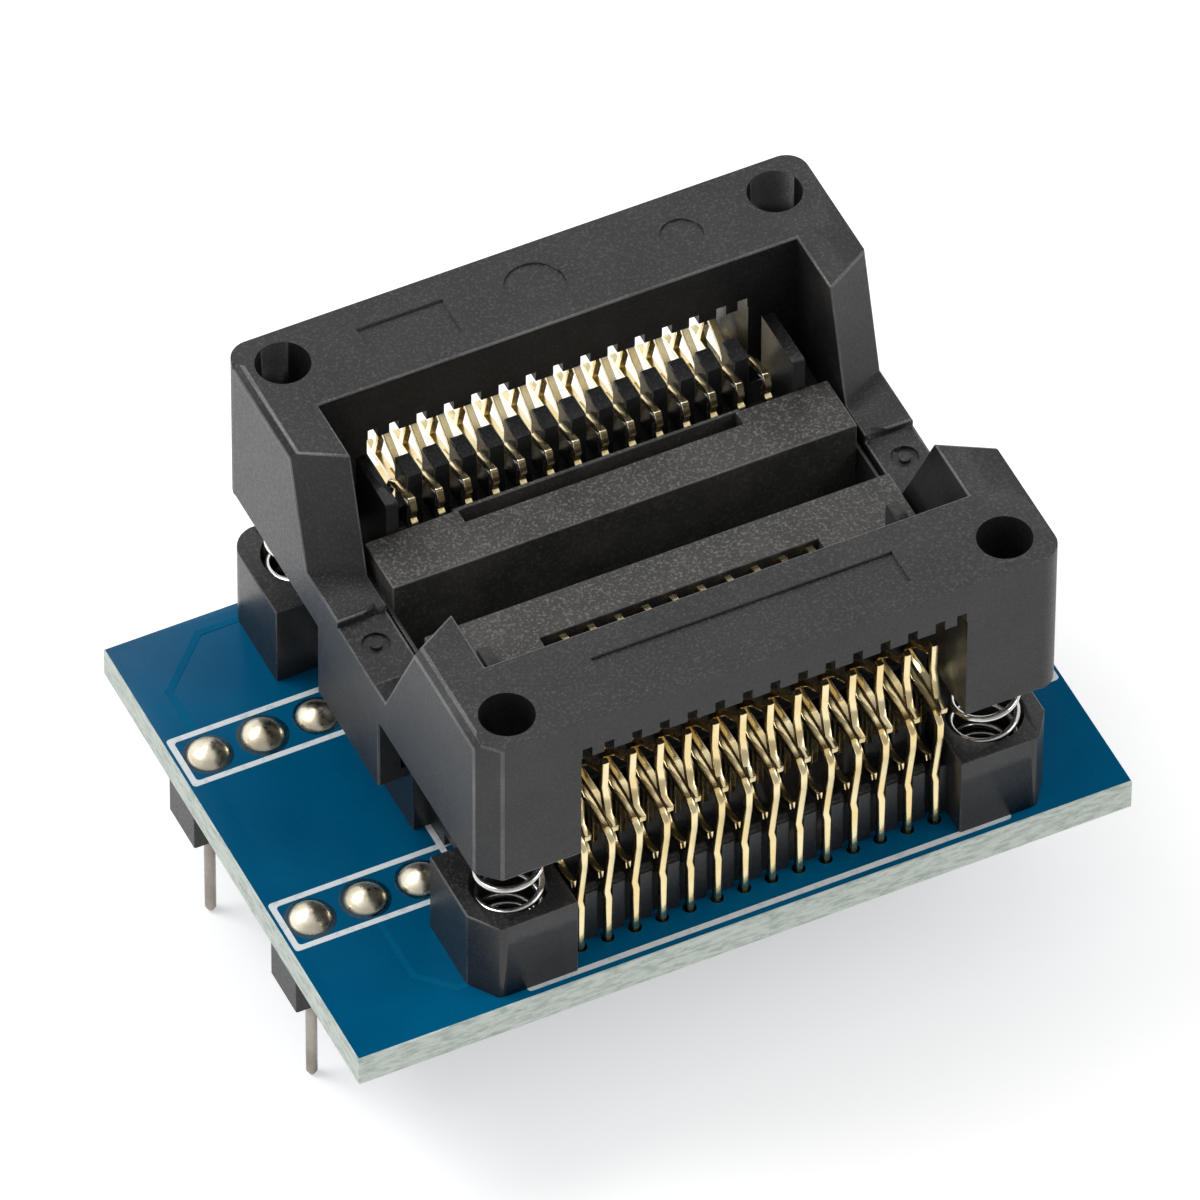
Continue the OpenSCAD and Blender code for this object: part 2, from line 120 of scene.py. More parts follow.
class NodeSheet:
    """A short way to wire a material's nodes."""

    def __init__(self, name: str) -> None:
        """Start an empty material with a Principled shader.

        Args:
            name: Name of the material.
        """
        self.material = bpy.data.materials.new(name)
        self.material.use_nodes = True
        self.tree = self.material.node_tree
        self.shader = self.tree.nodes["Principled BSDF"]
        self.place = self.add("ShaderNodeTexCoord").outputs["Object"]

    def add(self, kind: str, **settings: object) -> bpy.types.Node:
        """Add a node and set its properties.

        Args:
            kind: Node type.
            **settings: Properties of the node by name.

        Returns:
            The new node.
        """
        node = self.tree.nodes.new(kind)
        for key, value in settings.items():
            setattr(node, key, value)
        return node

    def join(self, source: bpy.types.NodeSocket, node: bpy.types.Node, entry: str | int) -> None:
        """Link an output to an input of a node."""
        self.tree.links.new(source, node.inputs[entry])

    def noise(self, grain_mm: float, detail: float = 2.0, stretch: tuple[float, float, float] = (1, 1, 1),
              roughness: float = 0.5) -> bpy.types.NodeSocket:
        """Noise with grains of a given size.

        Args:
            grain_mm: Size of a grain in millimetres.
            detail: Octaves of the noise.
            stretch: Scale along X, Y and Z, below 1 to draw the grains out.
            roughness: Share of the fine octaves.

        Returns:
            The noise value socket.
        """
        mapping = self.add("ShaderNodeMapping")
        mapping.inputs["Scale"].default_value = stretch
        self.join(self.place, mapping, "Vector")
        node = self.add("ShaderNodeTexNoise")
        node.inputs["Scale"].default_value = 1 / (grain_mm * MM)
        node.inputs["Detail"].default_value = detail
        node.inputs["Roughness"].default_value = roughness
        self.join(mapping.outputs["Vector"], node, "Vector")
        return node.outputs["Fac"]

    def ramp(self, source: bpy.types.NodeSocket, stops: Range, low: Colour, high: Colour) -> bpy.types.NodeSocket:
        """Colour ramp over a value.

        Args:
            source: The value.
            stops: Values at which the first colour ends and the second begins.
            low: Linear colour below the stops.
            high: Linear colour above the stops.

        Returns:
            The colour socket.
        """
        node = self.add("ShaderNodeValToRGB")
        for element, position, colour in zip(node.color_ramp.elements, stops, (low, high)):
            element.position = position
            element.color = (*colour, 1)
        self.join(source, node, "Fac")
        return node.outputs["Color"]

    def span(self, source: bpy.types.NodeSocket, low: float, high: float, start: float = 0.3,
             end: float = 0.7) -> bpy.types.NodeSocket:
        """Map the middle of a noise to a range of values.

        Args:
            source: The noise value.
            low: Result at the start.
            high: Result at the end.
            start: Noise value that gives the low result.
            end: Noise value that gives the high result.

        Returns:
            The mapped value socket.
        """
        node = self.add("ShaderNodeMapRange")
        for entry, value in zip(RANGE_ENTRIES, (start, end, low, high)):
            node.inputs[entry].default_value = value
        self.join(source, node, "Value")
        return node.outputs["Result"]

    def cover(self, under: bpy.types.NodeSocket, over: Colour, share: bpy.types.NodeSocket) -> bpy.types.NodeSocket:
        """Lay one colour over another.

        Args:
            under: Colour socket of the ground.
            over: Linear colour of what lies on it.
            share: Share of the upper colour.

        Returns:
            The mixed colour socket.
        """
        node = self.add("ShaderNodeMix", data_type="RGBA")
        colours = [entry for entry in node.inputs if entry.type == "RGBA"]
        self.join(share, node, "Factor")
        self.tree.links.new(under, colours[0])
        colours[1].default_value = (*over, 1)
        return next(result for result in node.outputs if result.type == "RGBA")

    def on_top(self, share: bpy.types.NodeSocket, beside: float) -> bpy.types.NodeSocket:
        """Keep a value on the faces that look up and lower it on the walls.

        Args:
            share: The value.
            beside: Part of the value that the walls keep.

        Returns:
            The lowered value socket.
        """
        facing = self.add("ShaderNodeAttribute", attribute_name=UPWARD)
        product = self.add("ShaderNodeMath", operation="MULTIPLY")
        self.join(share, product, 0)
        self.join(self.span(facing.outputs["Fac"], beside, 1.0, 0.3, 0.8), product, 1)
        return product.outputs["Value"]

    def bump(self, height: bpy.types.NodeSocket, depth_mm: float, strength: float,
             under: bpy.types.NodeSocket | None = None) -> bpy.types.NodeSocket:
        """Bump of a given depth.

        Args:
            height: Height value from 0 to 1.
            depth_mm: Depth of the relief in millimetres.
            strength: Strength of the bump.
            under: Normal that this one adds to.

        Returns:
            The normal socket.
        """
        node = self.add("ShaderNodeBump")
        node.inputs["Strength"].default_value = strength
        node.inputs["Distance"].default_value = depth_mm * MM
        self.join(height, node, "Height")
        if under is not None:
            self.join(under, node, "Normal")
        return node.outputs["Normal"]

    def set(self, **values: object) -> None:
        """Set inputs of the shader.

        Args:
            **values: Sockets or plain values by input name; underscores in the names stand for spaces.
        """
        for key, value in values.items():
            entry = key.replace("_", " ")
            if isinstance(value, bpy.types.NodeSocket):
                self.join(value, self.shader, entry)
            else:
                self.shader.inputs[entry].default_value = value


@dataclass(frozen=True)
class MouldedResin:
    """Black glass-filled resin: clouded, finely grained by its mould, and worn to pale specks on top."""

    name: str
    colour: Colour = (0.0085, 0.0090, 0.0100)
    pale: Colour = (0.0150, 0.0155, 0.0165)
    cloud: float = 2.4
    cloud_stops: Range = (0.35, 0.68)
    roughness: Range = (0.34, 0.50)
    grain: float = 0.13
    relief: float = 0.028
    wave: float = 0.9
    wave_relief: float = 0.02
    speck: float = 0.12
    speck_stops: Range = (0.50, 0.78)
    dusty: Colour = (0.105, 0.105, 0.109)
    worn: float = 0.50
    worn_walls: float = 0.4

    def material(self) -> bpy.types.Material:
        """Build the material.

        Returns:
            The finished material.
        """
        sheet = NodeSheet(self.name)
        grain = sheet.noise(self.grain, detail=3, roughness=0.6)
        ground = sheet.ramp(sheet.noise(self.cloud, detail=3), self.cloud_stops, self.colour, self.pale)
        specks = sheet.span(sheet.noise(self.speck, detail=1), 0, self.worn, *self.speck_stops)
        wave = sheet.bump(sheet.noise(self.wave), self.wave_relief, 0.15)
        sheet.set(
            Base_Color=sheet.cover(ground, self.dusty, sheet.on_top(specks, self.worn_walls)),
            Roughness=sheet.span(grain, *self.roughness),
            Specular_IOR_Level=0.5,
            Normal=sheet.bump(grain, self.relief, 0.5, wave),
        )
        return sheet.material


@dataclass(frozen=True)
class Plating:
    """A plated or tinned metal surface with duller clouds."""

    name: str
    colour: Colour
    dull: Colour
    roughness: Range = (0.18, 0.34)
    grain: float = 0.12
    relief: float = 0.004
    cloud_in_grains: float = 6.0
    cloud_stops: Range = (0.38, 0.58)

    def material(self) -> bpy.types.Material:
        """Build the material.

        Returns:
            The finished material.
        """
        sheet = NodeSheet(self.name)
        fine = sheet.noise(self.grain)
        cloud = sheet.noise(self.grain * self.cloud_in_grains)
        sheet.set(
            Base_Color=sheet.ramp(cloud, self.cloud_stops, self.dull, self.colour),
            Metallic=1.0,
            Roughness=sheet.span(fine, *self.roughness),
            Normal=sheet.bump(fine, self.relief, 0.5),
        )
        return sheet.material


@dataclass(frozen=True)
class SolderMask:
    """Blue lacquer over the copper of the board."""

    name: str = "solder_mask"
    colour: Colour = (0.0003, 0.101, 0.220)
    deep: Colour = (0.0002, 0.079, 0.180)
    cloud: float = 7.0
    cloud_stops: Range = (0.36, 0.64)
    sheen: tuple[float, float, float, float] = (0.02, 0.42, 0.75, 1)
    gloss: float = 0.17
    roughness: Range = (0.20, 0.30)
    weave: float = 0.28
    relief: float = 0.006

    def material(self) -> bpy.types.Material:
        """Build the material.

        Returns:
            The finished material.
        """
        sheet = NodeSheet(self.name)
        weave = sheet.noise(self.weave)
        sheet.set(
            Base_Color=sheet.ramp(sheet.noise(self.cloud), self.cloud_stops, self.deep, self.colour),
            Roughness=sheet.span(weave, *self.roughness),
            Specular_Tint=self.sheen,
            Specular_IOR_Level=self.gloss,
            Normal=sheet.bump(weave, self.relief, 0.25),
        )
        return sheet.material


@dataclass(frozen=True)
class BareLaminate:
    """Cut edge of the glass-fibre board, with its layers and fibres."""

    name: str = "bare_laminate"
    colour: Colour = (0.62, 0.68, 0.62)
    fibre: Colour = (0.36, 0.44, 0.40)
    fibre_size: float = 0.20
    fibre_stretch: tuple[float, float, float] = (0.25, 0.25, 1)
    fibre_stops: Range = (0.34, 0.56)
    roughness: float = 0.62
    relief: float = 0.05

    def material(self) -> bpy.types.Material:
        """Build the material.

        Returns:
            The finished material.
        """
        sheet = NodeSheet(self.name)
        fibre = sheet.noise(self.fibre_size, 4, self.fibre_stretch, 0.7)
        sheet.set(
            Base_Color=sheet.ramp(fibre, self.fibre_stops, self.fibre, self.colour),
            Roughness=self.roughness,
            Normal=sheet.bump(fibre, self.relief, 0.6),
        )
        return sheet.material


@dataclass(frozen=True)
class Ink:
    """Printed ink of the outlines on the board, thin in places."""

    name: str = "white_ink"
    colour: Colour = (0.80, 0.84, 0.86)
    thin: Colour = (0.55, 0.64, 0.70)
    patch: float = 0.35
    patch_stops: Range = (0.25, 0.48)
    roughness: float = 0.55
    relief: float = 0.01

    def material(self) -> bpy.types.Material:
        """Build the material.

        Returns:
            The finished material.
        """
        sheet = NodeSheet(self.name)
        patch = sheet.noise(self.patch, detail=3)
        sheet.set(
            Base_Color=sheet.ramp(patch, self.patch_stops, self.thin, self.colour),
            Roughness=self.roughness,
            Normal=sheet.bump(patch, self.relief, 0.3),
        )
        return sheet.material


class Finishes:
    """Every material of the socket, made once."""

    def __init__(self) -> None:
        """Build the materials."""
        self.cover = MouldedResin("cover_resin").material()
        # The paler resins on the rounded edges are partly rubbed wear and partly a painted highlight along the edges.
        self.cover_edge = MouldedResin(
            "cover_edge_resin", colour=(0.060, 0.060, 0.063), pale=(0.120, 0.120, 0.122), roughness=(0.30, 0.42),
            dusty=(0.26, 0.26, 0.26),
        ).material()
        self.base = MouldedResin(
            "base_resin", colour=(0.0125, 0.0130, 0.0140), pale=(0.0210, 0.0215, 0.0225), roughness=(0.28, 0.44),
            relief=0.012,
        ).material()
        self.base_edge = MouldedResin(
            "base_edge_resin", colour=(0.030, 0.031, 0.033), pale=(0.055, 0.055, 0.057), roughness=(0.24, 0.36),
            dusty=(0.12, 0.12, 0.12),
        ).material()
        self.seat = MouldedResin(
            "seat_resin", colour=(0.028, 0.027, 0.026), pale=(0.050, 0.048, 0.045), roughness=(0.34, 0.50),
            dusty=(0.26, 0.25, 0.24), worn=0.60,
        ).material()
        self.seat_edge = MouldedResin(
            "seat_edge_resin", colour=(0.060, 0.059, 0.057), pale=(0.100, 0.098, 0.094), roughness=(0.32, 0.44),
            dusty=(0.2, 0.2, 0.19),
        ).material()
        self.strip = MouldedResin(
            "strip_resin", colour=(0.007, 0.007, 0.008), pale=(0.012, 0.012, 0.013)
        ).material()
        self.flux = MouldedResin(
            "flux_ring", colour=(0.0006, 0.020, 0.042), pale=(0.0012, 0.034, 0.062), roughness=(0.10, 0.24),
            grain=0.3, dusty=(0.05, 0.07, 0.09),
        ).material()
        self.gold = Plating(
            "gold_plate", colour=(1.0, 0.86, 0.52), dull=(0.94, 0.74, 0.38), roughness=(0.16, 0.26), grain=0.25,
            relief=0.0012,
        ).material()
        # Cut sides of the contacts: the front row's dark brown copy is painted shade and the back row's pale cream
        # copy is a painted reflection of the white surroundings.
        self.stamped = {
            Row.FRONT: Plating(
                "front_row_painted_shade_side", colour=(0.34, 0.245, 0.12), dull=(0.16, 0.11, 0.052), roughness=(0.24, 0.38),
                grain=0.20, relief=0.0015,
            ).material(),
            Row.BACK: Plating(
                "back_row_painted_reflection_side", colour=(1.0, 0.91, 0.70), dull=(0.90, 0.76, 0.50), roughness=(0.16, 0.28),
                grain=0.20, relief=0.0015,
            ).material(),
        }
        self.spring = Plating(
            "spring_wire", colour=(0.86, 0.85, 0.83), dull=(0.70, 0.68, 0.65), roughness=(0.10, 0.22), grain=0.2
        ).material()
        self.pin = Plating(
            "tinned_pin", colour=(0.42, 0.385, 0.335), dull=(0.30, 0.27, 0.23), roughness=(0.26, 0.42), grain=0.3
        ).material()
        self.solder = Plating(
            "solder_tin", colour=(0.96, 0.89, 0.71), dull=(0.70, 0.62, 0.46), roughness=(0.24, 0.40), grain=0.22,
            relief=0.010,
        ).material()
        self.mask = SolderMask().material()
        self.trace = SolderMask(
            "mask_over_trace", colour=(0.0009, 0.116, 0.245), deep=(0.0006, 0.095, 0.206)
        ).material()
        self.laminate = BareLaminate().material()
        self.ink = Ink().material()


# -------------------------------------------------------------- mesh helpers


def piece_from(mesh: bmesh.types.BMesh, name: str, body: str, slot: str, *materials: bpy.types.Material,
               smooth: float = 40) -> bpy.types.Object:
    """Turn a finished bmesh in metres into a piece that rides on a body.

    Each face keeps how far it looks up, from -1 to 1, for the finishes that wear on top.

    Args:
        mesh: The finished bmesh, freed here.
        name: Name of the piece.
        body: Body that the piece rides on.
        slot: Material slot of the record; not used.
        *materials: Materials in the order of the faces' material index.
        smooth: Largest angle in degrees that is shaded smooth.

    Returns:
        The new object.
    """
    data = bpy.data.meshes.new(name)
    mesh.to_mesh(data)
    mesh.free()
    upward = data.attributes.new(UPWARD, "FLOAT", "FACE")
    upward.data.foreach_set("value", [face.normal.z for face in data.polygons])
    for material in materials:
        data.materials.append(material)
    data.shade_smooth()
    data.set_sharp_from_angle(angle=math.radians(smooth))
    piece = bpy.data.objects.new(name, data)
    bpy.context.scene.collection.objects.link(piece)
    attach(piece, body)
    log.info("%s: %d faces", name, len(data.polygons))
    return piece


def solid_copy(node: bpy.types.Object) -> bmesh.types.BMesh:
    """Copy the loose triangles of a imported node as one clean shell.

    Args:
        node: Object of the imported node.

    Returns:
        The copy, with merged corners and undivided flat faces.
    """
    mesh = bmesh.new()
    mesh.from_mesh(node.data)
    bmesh.ops.remove_doubles(mesh, verts=mesh.verts[:], dist=WELD * MM)
    bmesh.ops.dissolve_limit(mesh, angle_limit=math.radians(FLAT), verts=mesh.verts[:], edges=mesh.edges[:])
    return mesh


def crease_angle(edge: bmesh.types.BMEdge) -> float:
    """Measure how sharply the two faces of an edge meet.

    Args:
        edge: The edge.

    Returns:
        The angle in degrees, above 0 on a convex edge and 0 on an open one.
    """
    if len(edge.link_faces) != 2:
        return 0.0
    return math.degrees(edge.calc_face_angle_signed(0.0))


def room_beside(edge: bmesh.types.BMEdge) -> float:
    """Measure the shortest side edge that a round on an edge would run along.

    Args:
        edge: The edge to round.

    Returns:
        Its length in millimetres.
    """
    sides = [
        side.calc_length() for vert in edge.verts for side in vert.link_edges
        if side is not edge and any(face in edge.link_faces for face in side.link_faces)
    ]
    return min(sides, default=0.0) / MM


def convex_edges(mesh: bmesh.types.BMesh, room: float, length: float,
                 angle: float = 25) -> list[bmesh.types.BMEdge]:
    """Convex edges with enough room beside them for a round.

    Args:
        mesh: The moulding.
        room: Least length in millimetres of the side edges.
        length: Least length of the edge itself in millimetres.
        angle: Least angle in degrees between the faces.

    Returns:
        The edges that can take the round.
    """
    return [
        e for e in mesh.edges
        if crease_angle(e) > angle and e.calc_length() > length * MM and room_beside(e) > room
    ]


def round_edges(mesh: bmesh.types.BMesh, edges: list[bmesh.types.BMEdge], width: float, segments: int,
                material: int = -1) -> None:
    """Round a list of edges; the rounds don't limit each other, so the edges need room beside them.

    Args:
        mesh: The mesh to change.
        edges: Edges to round.
        width: Width of the round in millimetres.
        segments: Faces across the round.
        material: Material index of the new faces, or -1 to keep that of the neighbours.
    """
    bmesh.ops.bevel(
        mesh, geom=edges, offset=width * MM, offset_type="OFFSET", segments=segments, profile=0.5,
        affect="EDGES", clamp_overlap=False, material=material, loop_slide=True,
    )


# ------------------------------------------------------------------ mouldings


@dataclass
class Moulding:
    """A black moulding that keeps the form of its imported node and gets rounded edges.

    The room beside an edge is counted in widths of its round or chamfer.
    """

    node: str
    name: str
    body: str
    slot: str
    rim: float = 0.0
    rim_room: float = 1.2
    rim_shortest: float = 1.5
    rim_angle: float = 40
    fine: float = 0.07
    fine_room: float = 2.4
    fine_shortest: float = 0.9
    level: float = 0.5
    near: float = 0.05
    above_floor: float = 0.01

    def on_outer_wall(self, edge: bmesh.types.BMEdge) -> bool:
        """Tell whether an edge lies on one of the four outer walls.

        Args:
            edge: The edge.

        Returns:
            True where both ends of the edge lie on the same wall of the node's box.
        """
        low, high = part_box(self.node)
        return any(
            all(abs(vert.co[axis] - wall[axis]) < self.near * MM for vert in edge.verts)
            for axis in (0, 1) for wall in (low, high)
        )

    def rim_edges(self, mesh: bmesh.types.BMesh) -> list[bmesh.types.BMEdge]:
        """Find the long upper edges on the outside of the moulding, which get a chamfer.

        Args:
            mesh: The moulding.

        Returns:
            The edges of the rim.
        """
        return [
            e for e in convex_edges(mesh, self.rim_room * self.rim, self.rim_shortest, self.rim_angle)
            if self.on_outer_wall(e) and any(face.normal.z > self.level for face in e.link_faces)
        ]

    def build(self, nodes: dict[str, bpy.types.Object], *materials: bpy.types.Material) -> bpy.types.Object:
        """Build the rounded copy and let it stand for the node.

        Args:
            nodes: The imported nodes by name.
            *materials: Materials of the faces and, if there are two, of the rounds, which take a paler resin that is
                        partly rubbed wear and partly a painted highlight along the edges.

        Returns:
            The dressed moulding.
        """
        mesh = solid_copy(nodes[self.node])
        # A second material paints the rounds paler: partly rubbed wear, partly a painted highlight along the edges.
        pale = 1 if len(materials) > 1 else -1
        if self.rim:
            round_edges(mesh, self.rim_edges(mesh), self.rim, 1)
        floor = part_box(self.node)[0].z + self.above_floor * MM
        rounds = [
            e for e in convex_edges(mesh, self.fine_room * self.fine, self.fine_shortest)
            if max(v.co.z for v in e.verts) > floor
        ]
        round_edges(mesh, rounds, self.fine, 2, pale)
        piece = piece_from(mesh, self.name, self.body, self.slot, *materials)
        shading = piece.modifiers.new("even_shading", "WEIGHTED_NORMAL")
        shading.keep_sharp = True
        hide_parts(self.node)
        return piece


# ------------------------------------------------------------------ contacts


@dataclass
class ContactRows:
    """Two rows of stamped, gold-plated contacts; their flat sides are the cut of the stamp, with painted shade on the
    front row's sides and a painted reflection of the white surroundings on the back row's.
    """

    per_row: int = 14
    edge: float = 0.075
    inner_edge: float = 0.02
    flat_side: float = 0.9
    faces_out: float = 0.3

    def is_flat_side(self, face: bmesh.types.BMFace) -> bool:
        """Whether a face lies across the row, where the stamp cut it."""
        return abs(face.normal.x) > self.flat_side

    def build(self, nodes: dict[str, bpy.types.Object], finishes: Finishes) -> None:
        """Dress every contact.

        Args:
            nodes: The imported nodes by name.
            finishes: The materials.
        """
        for row in Row:
            for number in range(1, self.per_row + 1):
                node = f"contact_{row.word}_{number:02d}"
                mesh = solid_copy(nodes[node])
                for face in mesh.faces:
                    face.material_index = int(self.is_flat_side(face))
                corners = [
                    e for e in mesh.edges
                    if crease_angle(e) > RIGHT_ANGLE and any(self.is_flat_side(f) for f in e.link_faces)
                ]
                outward = [e for e in corners if any(f.normal.y * row.value > self.faces_out for f in e.link_faces)]
                round_edges(mesh, outward, self.edge, 3, 0)
                inward = [e for e in mesh.edges if e.is_valid and crease_angle(e) > RIGHT_ANGLE]
                round_edges(mesh, inward, self.inner_edge, 1, 1)
                # Front row sides take painted shade, back row sides a painted reflection.
                side = finishes.stamped[row]
                piece = piece_from(mesh, f"gold_{node}", "base", "contact", finishes.gold, side)
                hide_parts(node)


# ------------------------------------------------------------------- springs


@dataclass
class CornerSprings:
    """Four wound springs between the base and the corners of the cover."""

    joint: str = "cover_press"
    wire: float = 0.30
    closed_turns: float = 1.0
    closed_pitch: float = 0.34
    turns: float = 9.0
    steps_per_turn: int = 36
    wire_sides: int = 10

    def coil(self, low: Vector, high: Vector) -> bmesh.types.BMesh:
        """Wind one spring into a box.

        Args:
            low: Lowest corner of the spring's box in metres.
            high: Highest corner of the spring's box in metres.

        Returns:
            The wound wire.
        """
        mesh = bmesh.new()
        centre = (low + high) / 2
        radius = (high.x - low.x) / 2 - self.wire / 2 * MM
        ring = bmesh.ops.create_circle(mesh, cap_ends=False, segments=self.wire_sides, radius=self.wire / 2 * MM)
        bmesh.ops.rotate(mesh, verts=ring["verts"], cent=(0, 0, 0), matrix=Matrix.Rotation(math.pi / 2, 3, "X"))
        bmesh.ops.translate(
            mesh, verts=ring["verts"], vec=(centre.x + radius, centre.y, low.z + self.wire / 2 * MM)
        )
        start = list({e for v in ring["verts"] for e in v.link_edges})
        active = self.turns - 2 * self.closed_turns
        closed_rise = self.closed_pitch * MM * self.closed_turns
        rise = high.z - low.z - self.wire * MM - 2 * closed_rise
        end = start
        for turns, height in ((self.closed_turns, closed_rise), (active, rise), (self.closed_turns, closed_rise)):
            steps = round(turns * self.steps_per_turn)
            result = bmesh.ops.spin(
                mesh, geom=end, cent=centre, axis=(0, 0, 1), angle=math.tau * turns, steps=steps,
                dvec=(0, 0, height / steps),
            )
            end = [g for g in result["geom_last"] if isinstance(g, bmesh.types.BMEdge)]
        bmesh.ops.holes_fill(mesh, edges=[e for e in mesh.edges if e.is_boundary], sides=self.wire_sides)
        bmesh.ops.recalc_face_normals(mesh, faces=mesh.faces[:])
        return mesh

    def build(self, frame: dict, finishes: Finishes) -> None:
        """Wind the four springs.

        Args:
            frame: The loaded frame; not used.
            finishes: The materials.
        """
        for row in Row:
            for end in End:
                node = f"spring_{row.word}_{end.word}"
                low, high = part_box(node)
                piece = piece_from(self.coil(low, high), f"wound_{node}", "base", "spring", finishes.spring, smooth=60)
                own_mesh(piece)
                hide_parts(node)


# --------------------------------------------------------------------- board


@dataclass
class AdapterBoard:
    """The blue board with its printed outlines and the traces under the lacquer."""

    ink_width: float = 0.27
    ink_height: float = 0.02
    outline_height: float = 0.025
    ink_corner: float = 0.16
    trace_width: float = 0.30
    trace_height: float = 0.012
    trace_rise: float = 0.1
    rim_round: float = 0.05
    rim_shortest: float = 5.0
    hole_margin: float = 0.5
    row_spacing: float = 10.16
    rectangle: tuple[float, float] = (35.4, 2.62)
    outline: tuple[float, float] = (22.25, 25.1)
    outline_middle: float = 1.27
    traces: tuple[tuple[tuple[float, float], ...], ...] = (
        ((-16.51, 6.2), (-16.51, 9.0), (-14.0, 11.5), (-10.4, 11.5)),
        ((-13.97, -6.2), (-13.97, -9.8), (-12.6, -11.2), (-10.4, -11.2)),
        ((-11.43, -6.2), (-11.43, -8.4), (-10.4, -9.4)),
    )

    def slab(self, nodes: dict[str, bpy.types.Object], finishes: Finishes) -> None:
        """Dress the board itself.

        Args:
            nodes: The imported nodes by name.
            finishes: The materials.
        """
        mesh = solid_copy(nodes["circuit_board"])
        for face in mesh.faces:
            face.material_index = 0 if abs(face.normal.z) > 0.9 else 1
        low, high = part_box("circuit_board")
        rim = [e for e in mesh.edges if crease_angle(e) > RIGHT_ANGLE and e.calc_length() > self.rim_shortest * MM]
        round_edges(mesh, rim, self.rim_round, 1, 1)
        for face in mesh.faces:
            centre = face.calc_center_median()
            wall = min(centre.x - low.x, high.x - centre.x, centre.y - low.y, high.y - centre.y)
            if face.material_index == 1 and wall > self.hole_margin * MM:
                face.material_index = 2
        piece = piece_from(mesh, "adapter_board", "base", "board", finishes.mask, finishes.laminate, finishes.solder)
        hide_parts("circuit_board")

    def bar(self, mesh: bmesh.types.BMesh, start: tuple[float, float], end: tuple[float, float], width: float,
            z: float, height: float) -> None:
        """Lay a thin straight bar on the board.

        Args:
            mesh: The mesh to add to.
            start: One end of the bar's centre line in millimetres.
            end: The other end.
            width: Width of the bar in millimetres.
            z: Level of its underside in metres.
            height: Height of the bar in millimetres.
        """
        along = Vector(end) - Vector(start)
        middle = (Vector(end) + Vector(start)) / 2
        place = (
            Matrix.Translation((middle.x * MM, middle.y * MM, z + height * MM / 2))
            @ Matrix.Rotation(math.atan2(along.y, along.x), 4, "Z")
            @ Matrix.Diagonal(((along.length + width) * MM, width * MM, height * MM, 1))
        )
        bmesh.ops.create_cube(mesh, size=1, matrix=place)

    def printed_frame(self, mesh: bmesh.types.BMesh, middle: tuple[float, float], size: tuple[float, float],
                      z: float, height: float) -> None:
        """Print one rectangle of ink.

        Args:
            mesh: The mesh to add to.
            middle: Middle of the rectangle in millimetres.
            size: Length and depth of the rectangle's centre line in millimetres.
            z: Level of the board in metres.
            height: Height of the ink in millimetres.
        """
        outer = [(extent + self.ink_width) / 2 * MM for extent in size]
        place = Matrix.Translation((middle[0] * MM, middle[1] * MM, z)) @ Matrix.Diagonal((*outer, 1, 1))
        sheet = bmesh.ops.create_grid(mesh, x_segments=1, y_segments=1, size=1, matrix=place)
        panel = sheet["verts"][0].link_faces[0]
        inset = bmesh.ops.inset_region(mesh, faces=[panel], thickness=self.ink_width * MM, use_even_offset=True,
                                       use_boundary=True)
        bmesh.ops.delete(mesh, geom=[panel], context="FACES")
        raised = bmesh.ops.extrude_face_region(mesh, geom=inset["faces"])
        top = [part for part in raised["geom"] if isinstance(part, bmesh.types.BMVert)]
        bmesh.ops.translate(mesh, verts=top, vec=(0, 0, height * MM))

    def outlines(self, finishes: Finishes) -> None:
        """Print the outlines of the pin rows and of the socket.

        Args:
            finishes: The materials.
        """
        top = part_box("circuit_board")[1].z
        mesh = bmesh.new()
        for row in Row:
            self.printed_frame(mesh, (0, row.value * self.row_spacing / 2), self.rectangle, top, self.ink_height)
        self.printed_frame(mesh, (self.outline_middle, 0), self.outline, top, self.outline_height)
        upright = [e for e in mesh.edges if abs(e.verts[0].co.z - e.verts[1].co.z) > self.ink_height / 2 * MM]
        round_edges(mesh, upright, self.ink_corner, 3)
        bmesh.ops.recalc_face_normals(mesh, faces=mesh.faces[:])
        piece_from(mesh, "printed_outlines", "base", "board", finishes.ink)

    def copper_traces(self, finishes: Finishes) -> None:
        """Lay the traces that show as low ridges under the lacquer, each stretch a little above the last.

        Args:
            finishes: The materials.
        """
        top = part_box("circuit_board")[1].z
        mesh = bmesh.new()
        for route in self.traces:
            for step, (start, end) in enumerate(zip(route, route[1:])):
                self.bar(mesh, start, end, self.trace_width, top, self.trace_height * (1 + self.trace_rise * step))
        piece_from(mesh, "lacquered_traces", "base", "board", finishes.trace)

    def build(self, nodes: dict[str, bpy.types.Object], finishes: Finishes) -> None:
        """Build the board and what is printed on it.

        Args:
            nodes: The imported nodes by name.
            finishes: The materials.
        """
        self.slab(nodes, finishes)
        self.outlines(finishes)
        self.copper_traces(finishes)


